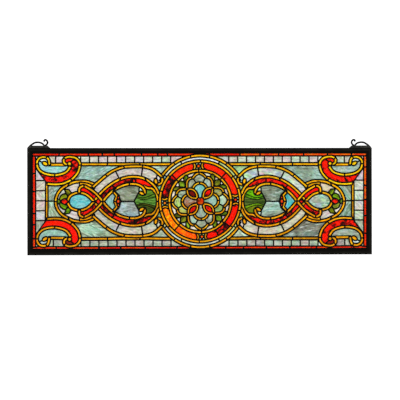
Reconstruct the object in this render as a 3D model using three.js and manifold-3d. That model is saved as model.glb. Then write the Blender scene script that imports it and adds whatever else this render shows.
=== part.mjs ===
// Hanging stained glass panel, built as such a panel is: pieces of glass held by a lattice of lead,
// edged with mitred metal channel, and hung by two wire scrolls on the top bar.
// Units are millimetres, +Z is up and the front faces -Y.
// The origin is the middle of the hanging line, halfway between the two hanger eyes.

import * as THREE from 'three';
import { mergeVertices } from 'three/addons/utils/BufferGeometryUtils.js';
import Module from 'manifold-3d';

const wasm = await Module();
wasm.setup();

// ---- Driving dimensions ----
const PANEL_WIDTH = 889;
const PANEL_HEIGHT = 276;
const FRAME_FACE = 14.7; // what the channel covers, seen from the front
const FRAME_DEPTH = 12;
const GROOVE_DEPTH = 6; // how far the glass reaches into the channel
const GLASS_THICKNESS = 3;
const LATTICE_THICKNESS = 5;
const GAP = 0.3; // clearance between pieces that touch
const LEAD = 2.4; // width of a lead line
const STRAP = 9.9; // an amber strip with the lead line on each side of it
const ROSETTE_STRAP = 8.6; // the same, slimmer, in the rosette
const BORDER_LEAD = [423.9, 117.3]; // lead between the red border and the tiles
const BORDER_STRAP_Z = 96.1; // amber line under the tile rows
const SIDE_STRAP_X = 396.6; // amber line beside the tile columns
const INNER_RING = 79.8; // radii of the amber rings of the roundel
const MIDDLE_RING = 103.3;
const OUTER_RING = 117.9;
const OUTER_RING_FROM = 35; // degrees above the horizontal where the outer ring starts
const JEWEL_RING = 8.6; // lead around the jewel
const ROSETTE_TURN = 2.6; // degrees, the roundel's contents are set slightly turned
const WIRE = 3.2; // hanger wire
const WIRE_SIDES = 8;
const WIRE_STEPS = 24;
const BASE_HEIGHT = 6; // flat base of a hanger
const BASE_DEPTH = 8;
const ARCH_HEIGHT = 15.3; // top of the hanger's arch above the frame, at the wire's centre
const CURVE_ERROR = 1.1; // how far a flat facet may leave its curve
const EMBEDDED = 0.4; // how far small fused glass reaches into the leads

const HALF_WIDTH = PANEL_WIDTH / 2;
const HALF_HEIGHT = PANEL_HEIGHT / 2;
const EYE_HEIGHT = ARCH_HEIGHT - WIRE / 2; // where a hook bears on the arch

// ---- Lines in the panel's plane, as [across, up] from its middle ----
const point = ([x, z]) => new THREE.Vector2(x, z);
const mirrored = (line, acrossSign, upSign) => line.map(([x, z]) => [x * acrossSign, z * upSign]);

function turned(line, degrees, [shiftX, shiftZ] = [0, 0]) {
  const angle = THREE.MathUtils.degToRad(degrees);
  const [c, s] = [Math.cos(angle), Math.sin(angle)];
  return line.map(([x, z]) => [x * c - z * s + shiftX, x * s + z * c + shiftZ]);
}

// Leaves out the points that a line can spare without straying further than the curve error.
function simplified(line) {
  const [first, last] = [point(line[0]), point(line.at(-1))];
  const chord = last.clone().sub(first);
  let worst = 0;
  let split = 0;
  for (let i = 1; i < line.length - 1; i++) {
    const away = point(line[i]).sub(first);
    const distance = chord.length() > GAP ? Math.abs(chord.cross(away)) / chord.length() : away.length();
    if (distance > worst) {
      worst = distance;
      split = i;
    }
  }
  if (worst < CURVE_ERROR) return [line[0], line.at(-1)];
  return [...simplified(line.slice(0, split + 1)).slice(0, -1), ...simplified(line.slice(split))];
}

const STEPS_PER_POINT = 12; // of a fine curve, before it is simplified

function smooth(points) {
  const curve = new THREE.SplineCurve(points.map(point));
  return simplified(curve.getPoints((points.length - 1) * STEPS_PER_POINT).map((p) => [p.x, p.y]));
}

// A curve that starts on the panel's level middle line and meets its mirror image there without a corner.
function smoothFromMiddle(points) {
  const [nearX, nearZ] = points[1];
  const curve = new THREE.SplineCurve([[nearX, -nearZ], ...points].map(point));
  const fine = curve.getPoints(points.length * STEPS_PER_POINT).map((p) => [p.x, p.y]);
  const line = simplified(fine.slice(STEPS_PER_POINT));
  return [[line[1][0], -line[1][1]], ...line];
}

function arc(radius, fromDegrees, toDegrees) {
  const step = THREE.MathUtils.radToDeg(2 * Math.acos(1 - CURVE_ERROR / radius));
  const count = Math.ceil((toDegrees - fromDegrees) / step);
  return Array.from({ length: count + 1 }, (_, i) => {
    const angle = THREE.MathUtils.degToRad(fromDegrees + ((toDegrees - fromDegrees) * i) / count);
    return [radius * Math.cos(angle), radius * Math.sin(angle)];
  });
}

// The line that runs beside another at a distance, with mitred corners.
function beside(line, distance, closed) {
  return line.map((here, i) => {
    const before = line[i - 1] ?? (closed ? line.at(-1) : null);
    const after = line[i + 1] ?? (closed ? line[0] : null);
    const into = before && point(here).sub(point(before)).normalize();
    const out = after && point(after).sub(point(here)).normalize();
    const along = (into ?? out).clone().add(out ?? into).normalize();
    const miter = distance / along.dot(into ?? out);
    return [here[0] - along.y * miter, here[1] + along.x * miter];
  });
}

// ---- Solids ----
const MERGE = 1e-4; // vertices closer than this are one
const FLAT = 0.05; // corners that stand out less than this are left out

function toSolid(geometry) {
  geometry.deleteAttribute('normal');
  geometry.deleteAttribute('uv');
  const merged = mergeVertices(geometry, MERGE);
  const mesh = new wasm.Mesh({
    numProp: 3,
    vertProperties: Float32Array.from(merged.attributes.position.array),
    triVerts: Uint32Array.from(merged.index.array),
  });
  return new wasm.Manifold(mesh);
}

function toGeometry(solid) {
  const { vertProperties, triVerts } = solid.asOriginal().simplify(FLAT).getMesh();
  const geometry = new THREE.BufferGeometry();
  geometry.setAttribute('position', new THREE.BufferAttribute(vertProperties, 3));
  geometry.setIndex(new THREE.BufferAttribute(triVerts, 1));
  return geometry;
}

// A flat plate with an outline in the panel's plane and its thickness centred on it.
function plate(outline, thickness, hole = null) {
  const shape = new THREE.Shape(outline.map(point));
  if (hole) shape.holes.push(new THREE.Path(hole.map(point)));
  const geometry = new THREE.ExtrudeGeometry(shape, { depth: thickness, bevelEnabled: false });
  geometry.translate(0, 0, -thickness / 2);
  geometry.rotateX(Math.PI / 2);
  return toSolid(geometry);
}

function rectangle([halfX, halfZ]) {
  return [[-halfX, -halfZ], [halfX, -halfZ], [halfX, halfZ], [-halfX, halfZ]];
}

const joined = (solids) => solids.reduce((whole, solid) => whole.add(solid));

// ---- The design: strokes of lead, and of amber strip between two leads, one quarter of the panel ----
const strap = (...points) => ({ line: smooth(points), width: STRAP });
const strapFromMiddle = (...points) => ({ line: smoothFromMiddle(points), width: STRAP });
const lead = (...points) => ({ line: points, width: LEAD });
const bead = (middle, halfLong, halfShort, degrees) => ({ middle, halfLong, halfShort, degrees });

const BORDER = [
  { line: [[SIDE_STRAP_X, -10], [SIDE_STRAP_X, 51]], width: STRAP },
  { line: [[310, BORDER_STRAP_Z], [71, BORDER_STRAP_Z]], width: STRAP },
];

const CORNER_SCROLL = [
  strap(
    [389.1, 93], [389.9, 105], [395, 111.5], [403.5, 113.7], [412.5, 111.6], [418.5, 105], [419.9, 97],
    [417, 85.5], [408.7, 76.2], [395.5, 70.3], [374.6, 68.2], [355, 71.8], [343, 78.8], [336.4, 92],
  ),
  { line: [[389, 94.6], [347, 94.6]], width: STRAP },
  strap(
    [339, 94], [348.5, 97.5], [350.4, 105.5], [345.5, 112], [335.5, 113.8], [321, 110.8], [311.5, 102], [310, 92],
    [313.6, 78], [321, 66.5], [333, 55.7], [352.1, 47.5], [372.8, 44.7], [SIDE_STRAP_X, 47.6],
  ),
  lead([423.6, 85], [397, 50]),
  bead([398.8, 97], 8.4, 5.6, 32),
  bead([336.4, 98], 5.8, 5.8, 0),
];

const SIDE_OVAL = [
  strapFromMiddle(
    [375.6, 0], [372.3, 12.5], [366, 25], [356, 35.5], [341, 45], [325, 51.2], [307.7, 53], [290.4, 51.2],
    [270, 43],
  ),
  strap([313, 46.3], [306, 46], [290, 43.5], [271, 35]),
  strap(
    [312.8, 22], [312.3, 33], [306, 38.8], [296.5, 39], [276.7, 24.6], [263.3, 13.2], [250, 0], [236, -15.5],
    [220.9, -30], [201.3, -41.1], [181.9, -45.7], [162.5, -44.4], [148.3, -37.2], [141.6, -25], [145.5, -18],
  ),
  strapFromMiddle(
    [340.8, 0], [337.4, 12.2], [327.8, 20.7], [312.1, 23.8], [294.3, 19.2], [283.9, 11.5], [273.9, 0],
    [259.4, -19.4], [234.8, -40.3], [209, -56.6], [176.2, -64.2], [143.6, -58.4], [118.3, -39.5], [106, -18],
  ),
];

const LOOP = [
  strap(
    [277, 37], [244.4, 65.4], [221.9, 79.8], [197.1, 88.1], [171.5, 90.6], [143.6, 89.2], [121.4, 80.3],
    [102, 65.4], [97.6, 57.4], [100, 48.5], [110.5, 45.5],
  ),
  strapFromMiddle([109.2, 0], [111, 12], [114.5, 22], [123.5, 33.6], [134.9, 35.5], [146, 40.5]),
  strapFromMiddle([219.8, 0], [217.2, 8], [215.4, 15], [221, 21], [226, 28]),
  lead([170, 0], [161, 13], [152, 22]),
  lead([210, 0], [168.5, 0]),
  bead([113.4, 52.2], 7.4, 5, 75),
  bead([150.5, 20.2], 7.4, 5, 25),
  bead([212, 0], 5.9, 5.9, 0),
];

// The north quarter of the rosette: both sides of a pointed petal, the cap of a keyhole petal, and the trefoil
// around its three lobes.
const petalSide = (bulge) =>
  turned(smooth([[11.5, 0], [21, 0.76 * bulge], [30, bulge], [39, 0.76 * bulge], [47, 0]]), 45);
const ROSETTE = [
  { line: petalSide(10.6), width: ROSETTE_STRAP },
  { line: petalSide(-10.6), width: ROSETTE_STRAP },
  { line: smooth([[19.5, 30], [15, 40.5], [0, 46.5], [-15, 40.5], [-19.5, 30]]), width: ROSETTE_STRAP },
  { line: smooth([[18, 60.2], [9.5, 71], [0, 75.5], [-9.5, 71], [-18, 60.2]]), width: ROSETTE_STRAP },
  { line: smooth([[15.5, 61], [26, 59], [32.5, 50], [33.2, 33]]), width: ROSETTE_STRAP },
  { line: smooth([[-15.5, 61], [-26, 59], [-32.5, 50], [-33.2, 33]]), width: ROSETTE_STRAP },
];

// Amber brackets across the red ring, either side of the block at the end of each axis.
const BRACKETS = [
  { line: [[83, 10], [100, 10]], width: 7.5 },
  { line: [[83, -10], [100, -10]], width: 7.5 },
];

const CORNERS = { upper_right: [1, 1], upper_left: [-1, 1], lower_right: [1, -1], lower_left: [-1, -1] };
const AXES = { east: 0, north: 90, west: 180, south: 270 };

function inCorner(stroke, [across, up]) {
  if (stroke.line) return { ...stroke, line: mirrored(stroke.line, across, up) };
  const { middle, degrees } = stroke;
  return { ...stroke, middle: mirrored([middle], across, up)[0], degrees: degrees * across * up };
}

const inAllCorners = (stroke) => Object.values(CORNERS).map((signs) => inCorner(stroke, signs));
const onAllAxes = (stroke) =>
  Object.values(AXES).map((degrees) => ({ ...stroke, line: turned(stroke.line, degrees + ROSETTE_TURN) }));

const ring = (radius, width) => ({ line: arc(radius, 0, 360).slice(1), width, closed: true });
const outerArc = arc(OUTER_RING, OUTER_RING_FROM, 180 - OUTER_RING_FROM);

const STROKES = [
  { line: rectangle(BORDER_LEAD), width: LEAD, closed: true },
  ...[...BORDER, ...CORNER_SCROLL, ...SIDE_OVAL, ...LOOP].flatMap(inAllCorners),
  ring(INNER_RING, STRAP),
  ring(MIDDLE_RING, STRAP),
  ring(JEWEL_RING, LEAD),
  { line: outerArc, width: STRAP },
  { line: mirrored(outerArc, 1, -1), width: STRAP },
  ...[...ROSETTE, ...BRACKETS].flatMap(onAllAxes),
];

function strokeSolid(stroke, grown, thickness) {
  if (stroke.middle) {
    const { middle, halfLong, halfShort, degrees } = stroke;
    const round = arc(halfLong, 0, 360).slice(1);
    const oval = mirrored(round, 1 + grown / halfLong, (halfShort + grown) / halfLong);
    return plate(turned(oval, degrees, middle), thickness);
  }
  const half = stroke.width / 2 + grown;
  const left = beside(stroke.line, half, stroke.closed);
  const right = beside(stroke.line, -half, stroke.closed);
  if (!stroke.closed) return plate([...left, ...right.reverse()], thickness);
  return plate(right, thickness, left);
}

// ---- Glass: what the strokes leave open ----
const REACH = [HALF_WIDTH - FRAME_FACE + GROOVE_DEPTH - GAP, HALF_HEIGHT - FRAME_FACE + GROOVE_DEPTH - GAP];
const drawn = (grown, thickness) => joined(STROKES.map((stroke) => strokeSolid(stroke, grown, thickness)));
const openings = (grown, thickness) =>
  plate(rectangle(REACH), thickness).subtract(drawn(grown, thickness + 2)).decompose();

function around(solids, [x, z]) {
  const probe = plate(turned(rectangle([GAP, GAP]), 0, [x, z]), GAP);
  return solids.find((solid) => {
    const { min, max } = solid.boundingBox();
    return min[0] < x && x < max[0] && min[2] < z && z < max[2] && !solid.intersect(probe).isEmpty();
  });
}

const RED = '#e0180f';
const GREEN_OPAL = '#9db5a3';
const PALE_OPAL = '#d2cabf';
const BLUE = '#7cc4d2';

const onRing = (radius, degrees) => turned([[radius, 0]], degrees + ROSETTE_TURN)[0];
const named = (base, colour, place, spots) =>
  Object.entries(spots).map(([where, spot]) => ({ name: `${base}_${where}`, colour, seed: place(spot) }));
const inEach = (base, colour, seed) => named(base, colour, (signs) => mirrored([seed], ...signs)[0], CORNERS);
const onSides = (base, colour, x) => named(base, colour, (sign) => [x * sign, 0.5], { right: 1, left: -1 });
const onAxes = (base, colour, radius, offset) => named(base, colour, (a) => onRing(radius, a + offset), AXES);

const GLASS = [
  { name: 'red_border', colour: RED, seed: [429, 60] },
  ...inEach('tile_row', PALE_OPAL, [150, 108.3]),
  ...onSides('side_tiles', PALE_OPAL, 412.8),
  ...inEach('scroll_red', RED, [331, 73]),
  ...inEach('scroll_blue', BLUE, [372, 82]),
  ...inEach('green_field', GREEN_OPAL, [285, 75]),
  ...onSides('side_green_field', GREEN_OPAL, 386),
  ...inEach('loop_pale_band', PALE_OPAL, [176, 77]),
  ...inEach('loop_red_band', RED, [176, 54]),
  ...onSides('heart', BLUE, 235),
  ...inEach('loop_green_field', GREEN_OPAL, [190, 22]),
  ...onSides('palmette', '#4f8f2f', 135),
  ...onSides('oval_drop', BLUE, 312),
  ...onAxes('red_ring', RED, 91.5, 45),
  { name: 'jewel', colour: RED, seed: [0, 0] },
  ...onAxes('pointed_petal', RED, 30, 45),
  ...onAxes('keyhole_petal', '#a9c6cf', 33, 0),
];

// Small glass that is one solid with the lattice, set back to the glass's own faces.
const FUSED = [
  ...inEach('between_curls', PALE_OPAL, [370, 108]),
  ...inEach('triangle', GREEN_OPAL, [101, 85]),
  ...inEach('knot_red', RED, [292, 29.5]),
  ...onSides('oval_crescent', PALE_OPAL, 356),
];

function latticeSolid() {
  const holes = openings(-EMBEDDED, LATTICE_THICKNESS + 2);
  const fills = openings(-EMBEDDED, GLASS_THICKNESS);
  const filled = [...GLASS, ...FUSED].reduce(
    (sheet, { seed }) => sheet.subtract(around(holes, seed)),
    plate(rectangle(BORDER_LEAD), LATTICE_THICKNESS),
  );
  return joined([drawn(0, LATTICE_THICKNESS), filled, ...FUSED.map(({ seed }) => around(fills, seed))]);
}

// ---- Metal ----
// A channel bar along one side of the panel: mitred ends, and a groove that takes the edge of the glass.
function frameBar(halfLength, halfAcross, degrees) {
  const miter = GAP / 2;
  const outer = [halfLength - miter, halfAcross];
  const inner = [halfLength - FRAME_FACE - miter, halfAcross - FRAME_FACE];
  const outline = [[-inner[0], inner[1]], inner, outer, [-outer[0], outer[1]]];
  const groove = turned(rectangle([REACH[0] + GAP, REACH[1] + GAP]), -degrees);
  const bar = plate(outline, FRAME_DEPTH).subtract(plate(groove, GLASS_THICKNESS + 2 * GAP));
  return bar.rotate([0, -degrees, 0]);
}

// Wire from the outer corner of the frame, over the arch to the base, and up into a curl with a ball at its end.
// Its points, like the base's, are [along the bar from its end, up from its top].
const HANGER_WIRE = [
  [3, 3], [12.5, 9.4], [20.5, 13.9], [27, ARCH_HEIGHT], [35.7, 13.6], [42, 9], [46.3, 5], [51, 10.5],
  [52.8, 16], [50.6, 20.6], [46.3, 22.3], [43.4, 20.4],
];
const BALL = { middle: [43.4, 19.4], radius: 2.2 };

function hangerSolid(side) {
  const path = new THREE.CatmullRomCurve3(HANGER_WIRE.map(([x, z]) => new THREE.Vector3(x, 0, z)));
  const corners = Array.from({ length: WIRE_SIDES }, (_, i) => turned([[WIRE / 2, 0]], (i * 360) / WIRE_SIDES)[0]);
  const section = new THREE.Shape(corners.map(point));
  const wire = new THREE.ExtrudeGeometry(section, { extrudePath: path, steps: WIRE_STEPS, bevelEnabled: false });
  const ball = new THREE.SphereGeometry(BALL.radius, 7, 5).translate(BALL.middle[0], 0, BALL.middle[1]);
  const base = plate([[1, GAP], [60, GAP], [52, BASE_HEIGHT], [9, BASE_HEIGHT]], BASE_DEPTH);
  const whole = joined([base, toSolid(wire), toSolid(ball)]).translate([-HALF_WIDTH, 0, HALF_HEIGHT]);
  return side > 0 ? whole.mirror([1, 0, 0]) : whole;
}

// ---- The object ----
const AMBER = '#e8a010';
const BLACK_METAL = '#1c1b17';

const group = new THREE.Group();
group.position.z = -(HALF_HEIGHT + EYE_HEIGHT);

function addPiece(name, solid, material) {
  const mesh = new THREE.Mesh(toGeometry(solid), material);
  mesh.name = name;
  group.add(mesh);
}

const glass = openings(GAP, GLASS_THICKNESS);
for (const { name, colour, seed } of GLASS) {
  addPiece(name, around(glass, seed), new THREE.MeshStandardMaterial({ color: colour, roughness: 0.2 }));
}
addPiece('strapwork_lattice', latticeSolid(), new THREE.MeshStandardMaterial({ color: AMBER, roughness: 0.4 }));

const metal = new THREE.MeshStandardMaterial({ color: BLACK_METAL, roughness: 0.5, metalness: 0.7 });
addPiece('frame_top', frameBar(HALF_WIDTH, HALF_HEIGHT, 0), metal);
addPiece('frame_bottom', frameBar(HALF_WIDTH, HALF_HEIGHT, 180), metal);
addPiece('frame_left', frameBar(HALF_HEIGHT, HALF_WIDTH, 90), metal);
addPiece('frame_right', frameBar(HALF_HEIGHT, HALF_WIDTH, 270), metal);
addPiece('hanger_left', hangerSolid(-1), metal);
addPiece('hanger_right', hangerSolid(1), metal);

export default group;
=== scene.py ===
import math
import random

import bmesh
import bpy
import numpy as np
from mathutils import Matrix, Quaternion, Vector, geometry


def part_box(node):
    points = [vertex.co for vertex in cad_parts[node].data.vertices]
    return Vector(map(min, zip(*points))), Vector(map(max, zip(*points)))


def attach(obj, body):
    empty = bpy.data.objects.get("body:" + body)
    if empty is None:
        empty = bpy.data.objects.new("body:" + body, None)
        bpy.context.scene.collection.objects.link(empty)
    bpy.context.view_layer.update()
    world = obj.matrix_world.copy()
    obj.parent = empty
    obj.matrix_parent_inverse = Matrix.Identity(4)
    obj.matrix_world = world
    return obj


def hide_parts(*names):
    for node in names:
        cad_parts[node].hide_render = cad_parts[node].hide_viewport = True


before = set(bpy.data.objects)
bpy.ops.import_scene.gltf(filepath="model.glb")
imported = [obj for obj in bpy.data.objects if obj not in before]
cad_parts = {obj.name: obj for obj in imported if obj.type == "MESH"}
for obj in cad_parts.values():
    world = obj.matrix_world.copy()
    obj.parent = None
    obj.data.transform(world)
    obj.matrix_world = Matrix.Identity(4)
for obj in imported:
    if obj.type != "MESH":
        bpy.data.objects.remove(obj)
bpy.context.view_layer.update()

scene = bpy.context.scene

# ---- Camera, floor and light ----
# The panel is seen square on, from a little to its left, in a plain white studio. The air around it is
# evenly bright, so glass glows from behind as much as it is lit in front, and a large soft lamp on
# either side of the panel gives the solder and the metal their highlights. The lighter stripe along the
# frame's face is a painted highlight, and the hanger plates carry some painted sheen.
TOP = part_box("frame_top")[1].z
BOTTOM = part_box("frame_bottom")[0].z
MIDDLE = Vector((0, 0, (TOP + BOTTOM) / 2))

LENS = 85
SENSOR = 36
VIEW_WIDTH = 1.0334  # what the camera takes in at the panel
AIM = MIDDLE + Vector((-0.0004, 0, 0.0036))
AZIMUTH = math.radians(-1.2)
ROLL = math.radians(0.1)
AIR_GLOW = 1.2
LAMP_SIZE = 1.2
LAMP_WATTS = 6
FLOOR_DROP = 0.8  # from the panel's bottom edge
FLOOR_REACH = 1.1


def in_scene(name, data):
    thing = bpy.data.objects.new(name, data)
    scene.collection.objects.link(thing)
    return thing


camera = in_scene("camera", bpy.data.cameras.new("camera"))
camera.data.lens = LENS
camera.data.sensor_width = SENSOR
distance = VIEW_WIDTH * LENS / SENSOR
camera.location = AIM + distance * Vector((math.sin(AZIMUTH), -math.cos(AZIMUTH), 0))
looking = (AIM - camera.location).to_track_quat("-Z", "Y")
camera.rotation_euler = (looking @ Quaternion((0, 0, 1), -ROLL)).to_euler()
scene.camera = camera
scene.view_settings.view_transform = "Standard"

world = bpy.data.worlds.new("studio_air")
world.use_nodes = True
air = world.node_tree.nodes["Background"].inputs
air["Color"].default_value = (1, 1, 1, 1)
air["Strength"].default_value = AIR_GLOW
scene.world = world

for name, place in (("front_lamp", Vector((-1.3, -2.0, 1.6))), ("back_lamp", Vector((1.1, 2.2, 1.4)))):
    lamp = in_scene(name, bpy.data.lights.new(name, "AREA"))
    lamp.data.shape = "DISK"
    lamp.data.size = LAMP_SIZE
    lamp.data.energy = LAMP_WATTS
    lamp.location = place
    lamp.rotation_euler = (MIDDLE - place).to_track_quat("-Z", "Y").to_euler()

floor_corners = [(x * FLOOR_REACH, y * FLOOR_REACH, BOTTOM - FLOOR_DROP)
                 for x, y in ((-1, -1), (1, -1), (1, 1), (-1, 1))]
floor_mesh = bpy.data.meshes.new("studio_floor")
floor_mesh.from_pydata(floor_corners, [], [(0, 1, 2, 3)])
in_scene("studio_floor", floor_mesh)


# ---- The cartoon ----
# A stained glass panel starts as a drawing at full size, on which every piece is cut. Here it is a
# stack of outlines, each laid over the earlier ones, in millimetres across and up from the panel's
# middle. What shows of each outline is a piece of glass, and every edge that shows is a line of lead.
def mirrored(line, across, up):
    return [(x * across, z * up) for x, z in line]


def turned(line, degrees, shift=(0, 0)):
    c, s = math.cos(math.radians(degrees)), math.sin(math.radians(degrees))
    return [(x * c - z * s + shift[0], x * s + z * c + shift[1]) for x, z in line]


CURVE_STEPS = 14  # between two points of a curve, before the points it can spare are left out
CURVE_ERROR = 0.06


def spared(line, error=CURVE_ERROR):
    """The line without the points that lie within the error of the straight between their neighbours."""
    (x0, z0), (x1, z1) = line[0], line[-1]
    length = math.hypot(x1 - x0, z1 - z0)
    worst, split = 0, 0
    for i, (x, z) in enumerate(line[1:-1], 1):
        if length > error:
            off = abs((x1 - x0) * (z - z0) - (z1 - z0) * (x - x0)) / length
        else:
            off = math.hypot(x - x0, z - z0)
        if off > worst:
            worst, split = off, i
    if worst < error:
        return [line[0], line[-1]]
    return spared(line[: split + 1], error)[:-1] + spared(line[split:], error)


def smooth(points, from_middle=False):
    """A curve through the points. One that starts on the level middle line meets its mirror image there."""
    points = [Vector(p) for p in points]
    ahead = Vector((points[1].x, -points[1].y)) if from_middle else points[0]
    ends = [ahead, *points, points[-1]]
    line = []
    for i in range(len(points) - 1):
        a, b, c, d = ends[i : i + 4]
        if i == 0 and not from_middle:
            a = b
        for step in range(CURVE_STEPS):
            t = step / CURVE_STEPS
            v0, v1 = (c - a) / 2, (d - b) / 2
            p = (2 * b - 2 * c + v0 + v1) * t**3 + (-3 * b + 3 * c - 2 * v0 - v1) * t**2 + v0 * t + b
            line.append((p.x, p.y))
    line.append(tuple(points[-1]))
    return spared(line)


def arc(radius, start, end, centre=(0, 0)):
    step = math.degrees(2 * math.acos(1 - CURVE_ERROR / radius))
    count = max(3, math.ceil((end - start) / step))
    angles = [math.radians(start + (end - start) * i / count) for i in range(count + 1)]
    return [(centre[0] + radius * math.cos(a), centre[1] + radius * math.sin(a)) for a in angles]


def disc(radius, centre=(0, 0)):
    return arc(radius, 0, 360, centre)[:-1]


def oval(centre, half_long, half_short, degrees):
    round_one = [(x, z * half_short / half_long) for x, z in disc(half_long)]
    return turned(round_one, degrees, centre)


SHARPEST_MITER = 0.4  # the cosine of half the turn, past which a corner is cut short


def beside(line, distance):
    """The line that runs beside another, with mitred corners."""
    out = []
    for i, here in enumerate(line):
        here = Vector(here)
        into = (here - Vector(line[i - 1])).normalized() if i else None
        onward = (Vector(line[i + 1]) - here).normalized() if i + 1 < len(line) else None
        along = ((into or onward) + (onward or into)).normalized()
        miter = distance / max(SHARPEST_MITER, along.dot(into or onward))
        out.append((here.x - along.y * miter, here.y + along.x * miter))
    return out


def part(line, start, end):
    """The stretch of a line between its points nearest to start and end."""
    near = [min(range(len(line)), key=lambda i: math.dist(line[i], p)) for p in (start, end)]
    stretch = line[min(near) : max(near) + 1]
    return stretch if near[0] <= near[1] else stretch[::-1]


def both_halves(upper):
    """A closed outline from its upper half, which starts and ends at the level middle line."""
    return upper + [(x, -z) for x, z in reversed(upper) if abs(z) > 0.01]


CORNERS = [(-1, 1), (1, 1), (-1, -1), (1, -1)]  # upper left, upper right, lower left, lower right
SIDES = [(-1, 1), (1, 1)]
AS_DRAWN = [(1, 1)]
AMBER_HALF = 3.75  # half an amber strip, to the middle of the lead on either side
layers = []  # the stack of outlines, each with the group that its pieces belong to
cuts = []  # leads that divide what shows of an outline, each with the group that it divides


def pane(group, outline, copies=AS_DRAWN):
    layers.extend((group, mirrored(outline, *signs)) for signs in copies)


def strip(group, line, copies=AS_DRAWN, half=AMBER_HALF):
    """Amber glass cut to follow a line."""
    pane(group, beside(line, half) + beside(line, -half)[::-1], copies)


def cut(group, line, copies=AS_DRAWN):
    cuts.extend((group, mirrored(line, *signs)) for signs in copies)


def cross_cut(group, place, degrees, copies=AS_DRAWN, half=6.5):
    """A lead straight across a strip at a place. degrees is the direction of the cut."""
    cut(group, turned([(-half, 0), (half, 0)], degrees, place), copies)


def cross_cuts(group, places, copies):
    for place, degrees in places:
        cross_cut(group, place, degrees, copies)


def rectangle(half_width, low, high):
    return [(-half_width, low), (half_width, low), (half_width, high), (-half_width, high)]


# Red border, cut to lengths that butt end to end, with a wide seam of solder under its lower run
GLASS_REACH = (435.8, 129.3)
BORDER_LEAD = (423.9, 117.3)
LOWER_LEAD = -116.3
LOWER_SEAM_TOP = -122.9
BUTTS_ABOVE = (-363, -288, -252, -221, -151, -109, -84, 24, 103, 155, 203, 268, 330, 392)
BUTTS_BELOW = (-371, -330, -262, -205, -142, -60, 18, 66, 112, 171, 232, 301, 340, 398)
BUTTS_LEFT = (72, 26, -31, -60, -96)
BUTTS_RIGHT = (88, 41, 4, -38, -84)
pane("red_border", rectangle(GLASS_REACH[0], -GLASS_REACH[1], GLASS_REACH[1]))
pane("solder_web", rectangle(GLASS_REACH[0], -GLASS_REACH[1], LOWER_SEAM_TOP))
for up, butts in ((1, BUTTS_ABOVE), (-1, BUTTS_BELOW)):
    for x in butts:
        cut("red_border", [(x, up * 114), (x, up * 131)])
    for across in (-1, 1):
        cut("red_border", [(across * 436.5, up * BORDER_LEAD[1]), (across * 420, up * BORDER_LEAD[1])])
for across, butts in ((-1, BUTTS_LEFT), (1, BUTTS_RIGHT)):
    for z in butts:
        cut("red_border", [(across * 419, z), (across * 437, z)])

# Tiles, and the amber lines that part them from the field. Each row has its first lead from the middle,
# the pitch of its leads, and its last lead, inside the corner scroll.
TILE_ROWS = {(-1, 1): (76, 23.2, 371.9), (1, 1): (74, 23.1, 373.6),
             (-1, -1): (75.4, 23.2, 378), (1, -1): (74.4, 23.05, 374.4)}
ROW_LEADS = 11
SIDE_TILE_PITCH = 25.85
SIDE_TILE_MIDDLE = 2.2
SIDE_STRIP_X = 395.6
SIDE_STRIP_HALF = 3.2
SIDE_JOIN = 1.2
BORDER_STRIP_Z = 96.1
pane("tiles", rectangle(BORDER_LEAD[0], LOWER_LEAD, BORDER_LEAD[1]))
for corner, (first, pitch, last) in TILE_ROWS.items():
    for x in [first + pitch * i for i in range(ROW_LEADS)] + [last]:
        cut("tiles", [(x, 92), (x, 119)], [corner])
for i in range(-2, 3):
    z = SIDE_TILE_MIDDLE + SIDE_TILE_PITCH * i
    cut("tiles", [(393, z), (426, z)], SIDES)
pane("field", rectangle(SIDE_STRIP_X, -BORDER_STRIP_Z, BORDER_STRIP_Z))
cut("field", [(400, SIDE_JOIN), (370, SIDE_JOIN)], SIDES)

# Lines of the ornament, one quarter of the panel; the rest mirrors it
curl_line = smooth([
    (388.9, 93.2), (390.3, 105.2), (394.6, 112), (403.5, 114.4), (412.8, 112), (418.7, 105), (419.9, 97),
    (417.2, 85.4), (408.8, 76), (395.5, 70), (374.6, 67.6), (354.8, 71.3), (342.4, 78.1), (333.9, 90.6),
])
head_line = smooth([
    (338.8, 94.4), (348.2, 97.9), (350.7, 105.6), (345.9, 112.7), (335.4, 115.2), (320.3, 112.1),
    (311.2, 102.3), (310, 92), (313.6, 78), (321.2, 66.6), (333.1, 55.8), (352, 47), (372.8, 44.1),
    (394.8, 45.7),
])
oval_line = smooth([
    (372.9, 0), (370.8, 12.2), (364.6, 24.6), (354.9, 35), (339.9, 43.6), (324.8, 50), (307.7, 52),
    (290.4, 51), (270, 43),
], True)
second_line = smooth([(311, 46.4), (306, 46), (290, 43.5), (271, 35)])
hook_line = smooth([
    (311.5, 22), (311, 33), (305.8, 38.6), (296.5, 39), (275.4, 26.2), (262.6, 14), (251, 0),
    (237.2, -16.6), (221.2, -30.4), (200.9, -40.4), (181.8, -45), (162.6, -43.9), (148.7, -36.7),
    (142.3, -24.9), (145.5, -18),
])
drop_line = smooth([
    (341, 0), (336.7, 12), (328.5, 19), (312.8, 23), (297.5, 20), (285.5, 12.4), (273.7, 0),
    (259, -19), (235.1, -40.8), (208.9, -56.2), (176.2, -63.8), (143.5, -58.6), (117.9, -39.9),
    (106, -18),
], True)
loop_line = smooth([
    (277, 37), (244.4, 65.4), (222.1, 80.1), (197.3, 88.5), (171.5, 90.6), (143.5, 89.6), (120.4, 82),
    (101.6, 65.8), (97.6, 57.4), (99.3, 48), (109.4, 43),
])
palmette_line = smooth([
    (109.2, 0), (110.5, 12), (114, 22.2), (124, 32.9), (135.2, 34.7), (146.4, 39.8),
], True)
bracket_line = smooth([(219.8, 0), (217.2, 8), (215.4, 15), (220.6, 21.4), (225, 28.8)], True)

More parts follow.
